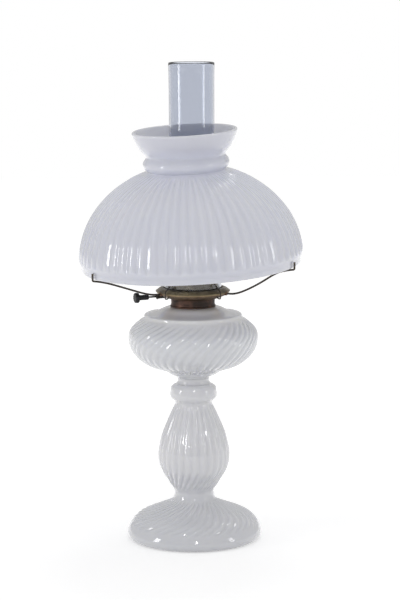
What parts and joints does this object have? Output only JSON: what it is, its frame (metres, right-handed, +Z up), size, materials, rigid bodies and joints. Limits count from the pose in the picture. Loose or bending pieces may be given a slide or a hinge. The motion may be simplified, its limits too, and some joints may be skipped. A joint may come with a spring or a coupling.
{
  "type": "table lamp",
  "caption": "Electrified oil lamp in ribbed opal glass: a round foot, pear stem and font carry a brass burner with a clear glass chimney and a domed shade held by wire arms.",
  "frame": {"origin": "centre of the ring that the foot stands on", "axes": "+Z up along the lamp's axis, -Y the front that the picture shows, +X to the viewer's right"},
  "size_m": [0.2607, 0.2617, 0.5561],
  "materials": {
    "opal_glass": "opaque milk glass, fire polished",
    "clear_glass": "clear, polished",
    "aged_brass": "aged, dull olive brown",
    "copper_brown_brass": "aged, copper brown",
    "dark_wire": "darkened wire",
    "black_plastic": "black moulded",
    "white_cement": "plaster",
    "tungsten_wire": "fine wire"
  },
  "bodies": {
    "base": {"pedestal": "opal_glass", "joining_wafer": "opal_glass", "font": "opal_glass", "collar_cement": "white_cement", "font_collar": "copper_brown_brass"},
    "burner": {"burner_body": "aged_brass", "chimney_gallery": "aged_brass", "burner_cone": "aged_brass", "shaft_bushing": "aged_brass", "cord_bushing": "black_plastic", "mounting_nipple": "aged_brass", "nipple_nut": "aged_brass", "socket_cap": "aged_brass", "socket_shell": "aged_brass", "socket_body": "black_plastic", "screw_shell": "aged_brass", "centre_contact": "aged_brass", "chimney_spring_1": "dark_wire", "chimney_spring_2": "dark_wire", "chimney_spring_3": "dark_wire", "chimney_spring_4": "dark_wire", "arm_lug_left": "aged_brass", "arm_lug_right": "aged_brass", "arm_lug_rear": "aged_brass", "shade_arm_left": "dark_wire", "shade_arm_right": "dark_wire", "shade_arm_rear": "dark_wire"},
    "switch": {"switch_shaft": "dark_wire", "switch_knob": "black_plastic"},
    "bulb": {"bulb_cap": "aged_brass", "bulb_glass": "clear_glass", "bulb_stem": "clear_glass", "filament": "tungsten_wire"},
    "chimney": {"chimney": "clear_glass"},
    "shade": {"shade": "opal_glass"}
  },
  "joints": [
    {"name": "burner_turn", "type": "hinge", "parent": "base", "child": "burner", "pos_m": [0, 0, 0.2812], "axis": [0, 0, 1], "continuous": true},
    {"name": "switch_turn", "type": "hinge", "parent": "burner", "child": "switch", "pos_m": [-0.03511, -0.01454, 0.2884], "axis": [-0.9239, -0.3827, 0], "continuous": true},
    {"name": "bulb_lift", "type": "slide", "parent": "burner", "child": "bulb", "axis": [0, 0, 1], "range_m": [0, 0.03]},
    {"name": "chimney_lift", "type": "slide", "parent": "burner", "child": "chimney", "axis": [0, 0, 1], "range_m": [0, 0.1]},
    {"name": "shade_lift", "type": "slide", "parent": "burner", "child": "shade", "axis": [0, 0, 1], "range_m": [0, 0.25]}
  ]
}
